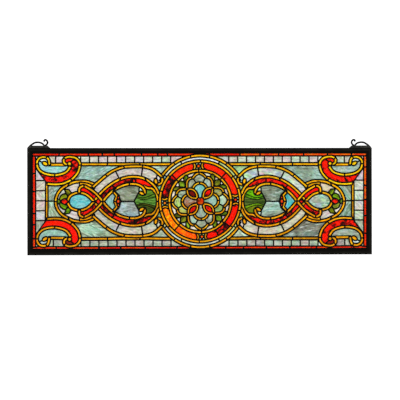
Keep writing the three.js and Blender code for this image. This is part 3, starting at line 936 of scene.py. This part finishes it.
# ---- Side ovals ----
# At each end an oval of pale crescents holds a large turquoise drop, with a spray of olive leaves and a
# small red flower at its outer end.
def oval_tint(group, place, size, seed):
    corner = corner_of(place)
    if group == "oval_drop":
        return glass((90, 190, 198), 0.35) if place[0] < 0 else glass((158, 184, 162), 1)
    if group == "oval_flower":
        return glass((255, 20, 4), 0.5)
    if group == "oval_crescent":
        if abs(place[0]) > 343:
            return glass(((220, 226, 204), (220, 220, 200), (214, 206, 208), (224, 212, 200))[corner],
                         0.2, seed)
        return glass(((206, 194, 184), (212, 194, 160), (198, 188, 186), (206, 194, 184))[corner], 0.3, seed)
    return glass({"oval_leaf": ((122, 136, 8), (90, 138, 6), (98, 150, 4), (156, 168, 50)),
                  "oval_leaf_tip": ((124, 122, 14), (110, 140, 12), (118, 176, 10), (120, 134, 14)),
                  "oval_leaf_bud": ((100, 136, 20),) * 4}[group][corner], 0.5, seed, 0.04)


lay("oval_crescents", {"oval_crescent"}, oval_tint, pale_glass, "pale_opal_glass", "strapwork_lattice")
lay("oval_drops", {"oval_drop"}, oval_tint, blue_glass, "blue_opal_glass",
    "oval_drop_left", "oval_drop_right")
lay("oval_flowers", {"oval_flower"}, oval_tint, red_glass, "red_glass", "strapwork_lattice")

recipe, tint, figure, sheet = sheet_glass("leaf_green_glass")
shade = recipe.tinted(tint, (0.34, 0.42, 0.3, 1))
light = recipe.tinted(tint, (1.5, 1.35, 1.6, 1))
veined = recipe.mixed(streaks(recipe, sheet, 0.04, 0.2, 0.4, 0.56, 1.0), shade, tint)
veined = recipe.mixed(streaks(recipe, sheet, 0.03, 0.16, 0.52, 0.64, 0.8) * 0.8, veined, light)
rust = recipe.rise(recipe.noise(stretched(recipe, sheet, 0.07, 0.12), 1.2, 3), 0.5, 0.66) * figure * 0.5
leaf_glass = finished_glass(recipe, recipe.mixed(rust, veined, (0.2, 0.09, 0.003, 1)), sheet, 0.18, 0.0005)
lay("oval_leaves", {"oval_leaf", "oval_leaf_tip", "oval_leaf_bud"}, oval_tint, leaf_glass, "leaf_green_glass",
    "strapwork_lattice")


# ---- Loops ----
# Inside each loop of strapwork run a lilac and cream band and a mottled red band. They close round a pale
# blue heart, and a palmette of veined green glass.
def loop_tint(group, place, size, seed):
    x, z = abs(place[0]), abs(place[1])
    corner = corner_of(place)
    if group == "red_band":
        if size < 170 and x > 240:
            return glass((255, 24, 6), 0 if place[0] < 0 else 0.5)
        if x > 280:
            return glass((252, 10, 2), (0.35, 0.15, 0.6, 0.55)[corner], seed, 0.02)
        if x > 205:
            return glass((255, 26, 2) if corner == 1 else (250, 12, 4), (0.85, 0.15, 0.7, 0.7)[corner],
                         seed, 0.02)
        if x > 165:
            return glass((250, 16, 2), (0.7, 0.3, 0.45, 0.6)[corner], seed, 0.02)
        return glass((252, 16, 2), (0.1, 0.55, 0.7, 0.62)[corner], seed, 0.02)
    if group == "pale_band":
        if x < 150:
            return glass(((212, 200, 192), (172, 204, 204), (196, 190, 166), (212, 200, 190))[corner],
                         0.3, seed)
        return glass(((206, 198, 186), (178, 198, 184), (192, 190, 172), (204, 200, 176))[corner],
                     (0.3, 1, 0.6, 0.4)[corner], seed, 0.05)
    if group == "heart":
        return glass((138, 182, 172), 0.5) if place[0] < 0 else glass((68, 182, 190), 0.6)
    if group == "hook_chip":
        return glass((206, 236, 206), 0.2, seed)
    left = place[0] < 0
    if z < 4:
        return glass((96, 150, 58) if left else (88, 112, 44), 0.1)
    if place[1] > 0:
        return glass((96, 146, 36) if left else (92, 170, 6), 0.2, seed, 0.06)
    if z < 14:
        return glass((60, 72, 6) if left else (100, 150, 8), 0.3, seed)
    return glass((70, 92, 18) if left else (98, 122, 8), 0.4, seed)


lay("loop_pale_bands", {"pale_band"}, loop_tint, pale_glass, "pale_opal_glass",
    *at_corners("loop_pale_band"))
lay("loop_red_bands", {"red_band"}, loop_tint, red_glass, "red_glass", *at_corners("loop_red_band"))
lay("hearts", {"heart"}, loop_tint, blue_glass, "blue_opal_glass", "heart_left", "heart_right")
lay("palmettes", {"palmette"}, loop_tint, leaf_glass, "leaf_green_glass", "palmette_left", "palmette_right")
lay("hook_chips", {"hook_chip"}, loop_tint, pale_glass, "pale_opal_glass", "strapwork_lattice")


# ---- Roundel ----
# The big round in the middle: a pale ring and a red ring between three rings of amber, with a small
# red-eyed block of greens where each axis crosses the red ring.
def at_axes(stem):
    return [f"{stem}_{side}" for side in ("east", "north", "west", "south")]


def roundel_tint(group, place, size, seed):
    x, z = place
    if group == "pale_ring":
        if size < 330:
            return glass((110, 196, 188) if x < 0 < z else (200, 224, 140), 0.1)
        if abs(x) < 20:
            return glass((226, 232, 238) if z > 0 else (196, 206, 186), 0.2)
        if x > 0:
            return glass((204, 228, 142), 0.2, seed)
        return glass((218, 232, 208) if z > 0 else (206, 220, 212), 0.2)
    if group == "red_ring":
        if x < 0 and z < 0:
            return glass((255, 104, 4) if x < -55 else (255, 76, 4), 0)
        if x < -60:
            return glass((250, 14, 2), 0.76)
        if x > 0 > z:
            return glass((246, 12, 0), 0.76 if 45 < x < 70 else 0.25)
        return glass((248, 26, 0), 0.22, seed, 0.02)
    if group == "block_dot":
        return glass((255, 96, 4) if x < -30 else (255, 66, 4) if x < 30 else (250, 36, 4), 0)
    if math.hypot(x, z) > 91.5:
        return glass((190, 222, 196), 0.1, seed)
    return glass((176, 204, 120), 0.1, seed)


lay("pale_ring", {"pale_ring"}, roundel_tint, pale_glass, "pale_opal_glass", "strapwork_lattice")
lay("red_ring", {"red_ring"}, roundel_tint, red_glass, "red_glass", *at_axes("red_ring"))
lay("block_chips", {"block"}, roundel_tint, blue_glass, "blue_opal_glass", "strapwork_lattice")
lay("block_dots", {"block_dot"}, roundel_tint, red_glass, "red_glass", "strapwork_lattice")


# ---- Rosette ----
# The flower in the roundel: four trefoil lobes of pale opal, each with a keyhole petal inside it, and four
# pointed red petals between them. Green squares and leaves fill the corners against the ring.
def rosette_tint(group, place, size, seed):
    x, z = place
    if group == "keyhole":
        if abs(x) > abs(z):
            return glass((140, 182, 164), 0.6) if x > 0 else glass((158, 98, 62), 0.4)
        return glass((118, 196, 192), 0.4) if z > 0 else glass((156, 168, 146), 0.6)
    if group == "lobe":
        colour = (178, 190, 166)
        if x < -50 and abs(z) < 12:
            colour = (178, 208, 102)
        elif x < -30 and z < -12:
            colour = (204, 190, 86)
        elif x < -30:
            colour = (184, 212, 184)
        elif x > 55:
            colour = (194, 218, 188)
        elif x > 30 and z > 12:
            colour = (174, 170, 76)
        elif x > 30 and z < -8:
            colour = (158, 202, 122)
        return glass(colour, 0.75, seed)
    if group == "petal":
        if x < 0 < z:
            return glass((118, 8, 4), 0.4)
        return glass((226 if x < 0 else 250, 14, 2), 0.35 if z > 0 or x < 0 else 0.1)
    if group == "spandrel":
        return glass(seed.choice(((228, 210, 214), (232, 220, 198), (212, 216, 214))), 0.2, seed)
    return glass(seed.choice(((112, 150, 24), (96, 132, 14), (120, 128, 20))), 0.4, seed, 0.1)


lay("lobes", {"lobe"}, rosette_tint, green_glass, "green_opal_glass", "strapwork_lattice")
lay("keyhole_petals", {"keyhole"}, rosette_tint, blue_glass, "blue_opal_glass", *at_axes("keyhole_petal"))
lay("pointed_petals", {"petal"}, rosette_tint, red_glass, "red_glass", *at_axes("pointed_petal"))
lay("spandrel_slivers", {"spandrel"}, rosette_tint, pale_glass, "pale_opal_glass", "strapwork_lattice")
lay("spandrel_leaves", {"spandrel_leaf", "spandrel_square"}, rosette_tint, leaf_glass, "leaf_green_glass",
    "strapwork_lattice")


# ---- Jewel ----
# A pressed glass jewel at the heart of the rosette: a square cushion with a domed face and a flat back,
# leaded in as the flat pieces are. The dome rises in ribs from each point of the rim to one tip.
JEWEL_DOME = 1.6  # its rise above the sheet, in millimetres
JEWEL_RINGS = 6
jewel_plate = glass_plates("jewel_cushion", {"jewel"}, lambda *place: glass((218, 46, 2), 0.42))
jewel_mesh = bmesh.new()
jewel_mesh.from_mesh(jewel_plate.data)
centre = sum((v.co for v in jewel_mesh.verts), Vector()) / len(jewel_mesh.verts)
front = [f for f in jewel_mesh.faces if all(v.co.y < 0 for v in f.verts)]
rim = [tuple(e.verts) for e in jewel_mesh.edges if sum(f in front for f in e.link_faces) == 1]
bmesh.ops.delete(jewel_mesh, geom=front, context="FACES_KEEP_BOUNDARY")
ribs = {v: [v] for edge in rim for v in edge}
levels = [math.radians(90 * i / JEWEL_RINGS) for i in range(1, JEWEL_RINGS)]
for v, rib in ribs.items():
    for level in levels:
        x, z = (middle + (place - middle) * math.cos(level)
                for middle, place in ((centre.x, v.co.x), (centre.z, v.co.z)))
        rise = (GLASS_HALF_THICK + JEWEL_DOME * math.sin(level)) / 1000
        rib.append(jewel_mesh.verts.new((x, -rise, z), v))
tip = (centre.x, -(GLASS_HALF_THICK + JEWEL_DOME) / 1000, centre.z)
tip = jewel_mesh.verts.new(tip, rim[0][0])
for one, other in ((ribs[a], ribs[b]) for a, b in rim):
    for i in range(len(levels)):
        jewel_mesh.faces.new((one[i], other[i], other[i + 1], one[i + 1]))
    jewel_mesh.faces.new((one[-1], other[-1], tip))
bmesh.ops.recalc_face_normals(jewel_mesh, faces=jewel_mesh.faces)
jewel_mesh.normal_update()
for face in jewel_mesh.faces:
    face.smooth = face.normal.y < -0.05
jewel_mesh.to_mesh(jewel_plate.data)
jewel_mesh.free()
dress(jewel_plate, red_glass, "red_glass", "jewel")


# ---- Amber strips ----
# The strapwork itself: narrow strips of streaky amber cut to follow every curve, in short lengths because
# glass can't be cut round a tight bend in one.
def amber_tint(group, place, size, seed):
    if group == "bracket_dot":
        return glass((248, 60, 10), 0.1)
    # Painted light, as if lit from above: the scroll strips in the upper half are painted a lighter yellow,
    # as a painted highlight. The strips in the lower half are darker, and the border strips in the lower
    # right darker still, as painted shade.
    if group in ("curl_strip", "head_strip", "scroll_dot", "scroll_comma") and place[1] > 0:
        return glass((255, 204, 0), 0.3, seed, 0.03)
    if group == "border_strip" and place[0] > 0 > place[1]:
        return glass((206, 136, 0), 0.5, seed, 0.04)
    if place[1] < 0:
        return glass((240, 160, 0), 0.6, seed, 0.06)
    return glass((252, 180, 0), 0.5, seed, 0.05)


amber_groups = {
    "border_strip", "outer_ring", "oval_strip", "second_strip", "palmette_strip", "bracket_strip",
    "drop_strip", "hook_strip", "loop_strip", "scroll_bar", "head_strip", "curl_strip", "middle_ring",
    "block_strip", "inner_ring", "lobe_strip", "tip_strip", "cap_strip", "petal_strip", "comma_bead",
    "hook_bead", "scroll_comma", "scroll_dot",
}
recipe, tint, figure, sheet = sheet_glass("amber_glass")
burnt = recipe.tinted(tint, (0.72, 0.42, 0.4, 1))
warm = recipe.mixed(streaks(recipe, sheet, 0.05, 0.2, 0.46, 0.62, 0.6) * figure, tint, burnt)
light = streaks(recipe, sheet, 0.04, 0.16, 0.52, 0.66, 0.6) * 0.5
amber_glass = finished_glass(recipe, recipe.mixed(light, warm, (1.0, 0.72, 0.01, 1)), sheet, 0.15, 0.0004)
lay("amber_strips", amber_groups, amber_tint, amber_glass, "amber_glass", "strapwork_lattice")
lay("bracket_dots", {"bracket_dot"}, amber_tint, red_glass, "red_glass", "strapwork_lattice")


# ---- Solder and lead ----
# Every piece is edged in copper foil and soldered to its neighbours with a raised bead on both faces,
# blackened with patina. A rounded pool marks each place where seams meet.
LEAD_WIDTH = 4.3
LEAD_DEPTH = 5.0
SLIM_LEADS = {"tiles": 0.9, "palmette": 0.5}  # share of the full width
BEAD_REACH, BEAD_SWELL = 0.62, 0.5  # half a bead and half a pool, as shares of the lead's width and depth
POOL_REACH, POOL_SWELL = 0.68, 0.52
FILL_HALF_THICK = 2.0


def lead_net():
    """The seams of the cartoon as edges in the panel's plane, each point with its share of full width."""
    number, edges = {}, []
    for edge, kind in leads:
        width = SLIM_LEADS.get(kind, 1)
        edges.append(tuple(number.setdefault((v, width), len(number)) for v in edge))
    mesh = bpy.data.meshes.new("solder_seams")
    mesh.from_pydata([in_panel(*net[v]) for v, width in number], edges, [])
    data = mesh.attributes.new("share", "FLOAT", "POINT").data
    data.foreach_set("value", [width for v, width in number])
    return mesh


class Tree:
    """A Geometry Nodes tree, made node by node."""

    def __init__(self, name, **sizes):
        self.group = bpy.data.node_groups.new(name, "GeometryNodeTree")
        sockets = self.group.interface
        sockets.new_socket("Geometry", in_out="INPUT", socket_type="NodeSocketGeometry")
        sockets.new_socket("Geometry", in_out="OUTPUT", socket_type="NodeSocketGeometry")
        self.sizes = {n: sockets.new_socket(n, in_out="INPUT", socket_type="NodeSocketFloat") for n in sizes}
        self.values = sizes
        self.given = self.group.nodes.new("NodeGroupInput")

    def size(self, name):
        return self.given.outputs[name]

    def add(self, kind, settings=None, sockets=None, output=0):
        node = self.group.nodes.new(kind)
        for name, value in (settings or {}).items():
            setattr(node, name, value)
        for name, value in (sockets or {}).items():
            if isinstance(value, bpy.types.NodeSocket):
                self.group.links.new(value, node.inputs[name])
            else:
                node.inputs[name].default_value = value
        return node.outputs[output]

    def times(self, one, other):
        return self.add("ShaderNodeMath", {"operation": "MULTIPLY"}, {0: one, 1: other})

    def joined(self, parts):
        """Several parts as one, shaded smooth."""
        node = self.group.nodes.new("GeometryNodeJoinGeometry")
        for one in parts:
            self.group.links.new(one, node.inputs[0])
        return self.add("GeometryNodeSetShadeSmooth", None, {"Geometry": node.outputs[0]})

    def build(self, name, start, result, material):
        """The plain mesh that the tree makes from a starting mesh."""
        whole = self.add("GeometryNodeRealizeInstances", None, {0: result})
        painted = self.add("GeometryNodeSetMaterial", None, {"Geometry": whole, "Material": material})
        self.group.links.new(painted, self.group.nodes.new("NodeGroupOutput").inputs[0])
        seed = in_scene(name + "_seed", start)
        modifier = seed.modifiers.new(name, "NODES")
        modifier.node_group = self.group
        for size, value in self.values.items():
            modifier[self.sizes[size].identifier] = value
        seed.update_tag()
        graph = bpy.context.evaluated_depsgraph_get()
        mesh = bpy.data.meshes.new_from_object(seed.evaluated_get(graph), depsgraph=graph)
        mesh.name = name
        bpy.data.objects.remove(seed)
        return in_scene(name, mesh)


recipe = Recipe("black_solder")
place = recipe.node("ShaderNodeTexCoord", output=3)
patina = recipe.noise(place, 260, 4, 0.6)
worn = recipe.rise(recipe.noise(place, 900, 3, 0.6), 0.55, 0.8)
colour = recipe.mixed(recipe.rise(patina, 0.4, 0.65), (0.001, 0.0008, 0.001, 1), (0.004, 0.0028, 0.0016, 1))
solder = recipe.finish(recipe.mixed(worn * 0.35, colour, (0.012, 0.01, 0.008, 1)), patina * 0.3 + 0.3,
                       patina, 0.4, 0.0003, Specular_IOR_Level=0.04)

tree = Tree("solder_seams", Width=LEAD_WIDTH / 1000, Depth=LEAD_DEPTH / 1000)
given = tree.given.outputs[0]
share = tree.add("GeometryNodeInputNamedAttribute", {"data_type": "FLOAT"}, {"Name": "share"})
rounded = tree.add("GeometryNodeCurvePrimitiveCircle", None, {"Resolution": 8, "Radius": 1.0})
deep = tree.times(tree.size("Depth"), BEAD_SWELL)
runs = []
for width in (1, *SLIM_LEADS.values()):
    chosen = tree.add("FunctionNodeCompare", {"data_type": "FLOAT", "operation": "EQUAL"},
                      {0: share, 1: width, 12: 0.01})
    seams = tree.add("GeometryNodeMeshToCurve", None, {"Mesh": given, "Selection": chosen})
    seams = tree.add("GeometryNodeSetCurveNormal", {"mode": "FREE"}, {"Curve": seams, "Normal": (0, 1, 0)})
    half = tree.times(tree.size("Width"), BEAD_REACH * width)
    section = tree.add("ShaderNodeCombineXYZ", None, {"X": deep, "Y": half, "Z": 1.0})
    bead = tree.add("GeometryNodeTransform", None, {"Geometry": rounded, "Scale": section})
    runs.append(tree.add("GeometryNodeCurveToMesh", None,
                         {"Curve": seams, "Profile Curve": bead, "Fill Caps": True}))
meeting = tree.add("GeometryNodeInputMeshVertexNeighbors")
meeting = tree.add("FunctionNodeCompare", {"data_type": "INT", "operation": "NOT_EQUAL"}, {2: meeting, 3: 2})
pools = tree.add("GeometryNodeMeshToPoints", None, {"Mesh": given, "Selection": meeting})
blob = tree.add("GeometryNodeMeshUVSphere", None, {"Segments": 6, "Rings": 5, "Radius": 1.0})
lying = tree.add("GeometryNodeTransform", None, {"Geometry": blob, "Rotation": (math.radians(90), 0, 0)})
around = tree.times(tree.times(tree.size("Width"), POOL_REACH), share)
swell = tree.times(tree.size("Depth"), POOL_SWELL)
pool_size = tree.add("ShaderNodeCombineXYZ", None, {"X": around, "Y": swell, "Z": around})
runs.append(tree.add("GeometryNodeInstanceOnPoints", None,
                     {"Points": pools, "Instance": lying, "Scale": pool_size}))
fit(tree.build("solder_lattice", lead_net(), tree.joined(runs), solder), "solder", "strapwork_lattice")
fills = glass_plates("solder_fills", {"solder"}, lambda *place: (0, 0, 0, 0), FILL_HALF_THICK, 0)
dress(fills, solder, "solder", "strapwork_lattice")


# ---- Frame ----
# Four lengths of black-painted steel channel, rolled with a flat face and a lip, mitred and welded at the
# corners, with the edge of the glass caught in their groove.
FRAME_HALF = (444.5, 138.0)
FACE_WIDTH = 14.7
GROOVE_DEPTH, GROOVE_HALF = 6.0, 1.9
front_face = [(0, -4.6), (0.5, -5.6), (1.5, -6), (4.6, -6), (8.4, -6), (9.6, -5.7), (10.5, -4.9),
              (12.6, -4.6), (13.9, -4.3), (FACE_WIDTH, -3.3), (FACE_WIDTH, -GROOVE_HALF),
              (FACE_WIDTH - GROOVE_DEPTH, -GROOVE_HALF)]
channel = front_face + [(inward, -depth) for inward, depth in reversed(front_face)]

recipe = Recipe("black_painted_steel")
place = recipe.node("ShaderNodeTexCoord", output=3)
across = recipe.node("ShaderNodeAttribute", {"attribute_name": "across"}, output=2)
grain = recipe.noise(place, 500, 3, 0.6)
rub_and_sheen = recipe.rise(recipe.noise(place, 38, 5, 0.7), 0.4, 0.66)
# Painted highlight: a lighter stripe along the outer part of the face, where its crown would catch the light,
# broken up by rubbed mottling of the paint.
painted_ridge_highlight = recipe.rise(across, 0.1, 0.24) * (1 - recipe.rise(across, 0.4, 0.62))
paint = recipe.mixed(painted_ridge_highlight * (rub_and_sheen * 0.7 + 0.3), (0.0022, 0.002, 0.0014, 1), (0.0095, 0.0088, 0.0066, 1))
black_steel = recipe.finish(paint, grain * 0.2 + 0.42, grain, 0.25, 0.0002, Specular_IOR_Level=0.03)


def solid_of(name, solid):
    """The object of a closed solid, with its faces turned outwards."""
    bmesh.ops.recalc_face_normals(solid, faces=solid.faces)
    mesh = bpy.data.meshes.new(name)
    solid.to_mesh(mesh)
    solid.free()
    return in_scene(name, mesh)


for side, ends in (("top", ((-1, 1), (1, 1))), ("right", ((1, 1), (1, -1))), ("bottom", ((1, -1), (-1, -1))),
                   ("left", ((-1, -1), (-1, 1)))):
    bar = bmesh.new()
    mark = bar.verts.layers.float.new("across")
    rings = []
    for x, z in ends:
        ring = []
        for inward, depth in channel:
            v = bar.verts.new(in_panel(x * (FRAME_HALF[0] - inward), z * (FRAME_HALF[1] - inward), depth))
            v[mark] = inward / FACE_WIDTH
            ring.append(v)
        rings.append(ring)
        bar.faces.new(ring)
    for i in range(len(channel)):
        bar.faces.new((rings[0][i - 1], rings[0][i], rings[1][i], rings[1][i - 1]))
    dress(solid_of(f"frame_bar_{side}", bar), black_steel, "black_metal", f"frame_{side}")


# ---- Hangers ----
# At each end of the top bar a steel wire rises from the corner in a low loop, touches a small folded
# plate, and curls up into an open hook that ends in a ball. Plate and wire are welded to the bar.
WIRE_THICK, BALL_WIDE = 4.7, 5.4
PLATE_EDGE, PLATE_FACE = 2.6, 4.0  # half its depth, at the edge and at the face
loop_of_wire = smooth([(2.8, 0.9), (7.9, 6.4), (13.2, 10.4), (19.7, 14), (27.6, 14.8), (34.2, 13.6),
                       (38.8, 11.2), (42, 8), (44.6, 4.6)])
hook_of_wire = smooth([(45, 4.6), (47.6, 7.6), (50.4, 10.4), (51.8, 13.8), (51.2, 17.2), (49, 20.1),
                       (46.4, 21.3), (44.2, 20.6), (43.2, 18.7)])
wire_path = loop_of_wire + hook_of_wire
plate_outline = [(1, 0.05), (58.6, 0.05), (51.8, 6.2), (8, 6.2)]
plate_face = [(2.6, 0.05), (56.4, 0.05), (51, 4.3), (8.6, 4.3)]

recipe = Recipe("black_wire")
place = recipe.node("ShaderNodeTexCoord", output=3)
scale = recipe.noise(place, 700, 3, 0.6)
black_wire = recipe.finish(recipe.mixed(scale, (0.0012, 0.0012, 0.001, 1), (0.004, 0.0038, 0.003, 1)),
                           scale * 0.2 + 0.4, scale, 0.3, 0.0002, Specular_IOR_Level=0.05)
# The plate's lighter grey mottling is partly rubbed wear of the black paint and partly painted sheen, which
# stands in for the light on its face.
recipe = Recipe("rubbed_black_plate_with_sheen")
place = recipe.node("ShaderNodeTexCoord", output=3)
rub_and_sheen = recipe.rise(recipe.noise(place, 170, 4, 0.65, 0.5), 0.4, 0.62)
rubbed_sheen_plate = recipe.finish(recipe.mixed(rub_and_sheen, (0.006, 0.006, 0.005, 1), (0.034, 0.034, 0.028, 1)),
                             rub_and_sheen * 0.2 + 0.4, rub_and_sheen, 0.3, 0.0002, Specular_IOR_Level=0.1)


def on_bar(across, along, up, depth=0.0):
    """A point by its distance in from the end of the top bar, and up from the bar's upper edge."""
    return in_panel(across * (FRAME_HALF[0] - along), FRAME_HALF[1] + up, depth)


for across, name in ((-1, "left"), (1, "right")):
    path = bpy.data.meshes.new("wire_path")
    lengths = [(i, i + 1) for i in range(len(wire_path) - 1)]
    path.from_pydata([on_bar(across, *point) for point in wire_path], lengths, [])
    tree = Tree("hanger_wire", Thickness=WIRE_THICK / 1000, Ball=BALL_WIDE / 1000)
    given = tree.given.outputs[0]
    line = tree.add("GeometryNodeMeshToCurve", None, {"Mesh": given})
    line = tree.add("GeometryNodeSetCurveNormal", {"mode": "FREE"}, {"Curve": line, "Normal": (0, 1, 0)})
    half = tree.times(tree.size("Thickness"), 0.5)
    rounded = tree.add("GeometryNodeCurvePrimitiveCircle", None, {"Resolution": 14, "Radius": half})
    wire = tree.add("GeometryNodeCurveToMesh", None,
                    {"Curve": line, "Profile Curve": rounded, "Fill Caps": True})
    ends = tree.add("GeometryNodeInputMeshVertexNeighbors")
    ends = tree.add("FunctionNodeCompare", {"data_type": "INT", "operation": "EQUAL"}, {2: ends, 3: 1})
    tips = tree.add("GeometryNodeMeshToPoints", None, {"Mesh": given, "Selection": ends})
    half = tree.times(tree.size("Ball"), 0.5)
    ball = tree.add("GeometryNodeMeshUVSphere", None, {"Segments": 16, "Rings": 10, "Radius": half})
    balls = tree.add("GeometryNodeInstanceOnPoints", None, {"Points": tips, "Instance": ball})
    hook = tree.build(f"hanger_wire_{name}", path, tree.joined((wire, balls)), black_wire)
    fit(hook, "black_metal", f"hanger_{name}")

    fold = bmesh.new()
    levels = ((plate_face, -PLATE_FACE), (plate_outline, -PLATE_EDGE), (plate_outline, PLATE_EDGE),
              (plate_face, PLATE_FACE))
    rings = [[fold.verts.new(on_bar(across, *point, depth)) for point in outline]
             for outline, depth in levels]
    fold.faces.new(rings[0])
    fold.faces.new(rings[-1])
    for one, other in zip(rings, rings[1:]):
        for i in range(len(one)):
            fold.faces.new((one[i - 1], one[i], other[i], other[i - 1]))
    dress(solid_of(f"hanger_plate_{name}", fold), rubbed_sheen_plate, "black_metal", f"hanger_{name}")
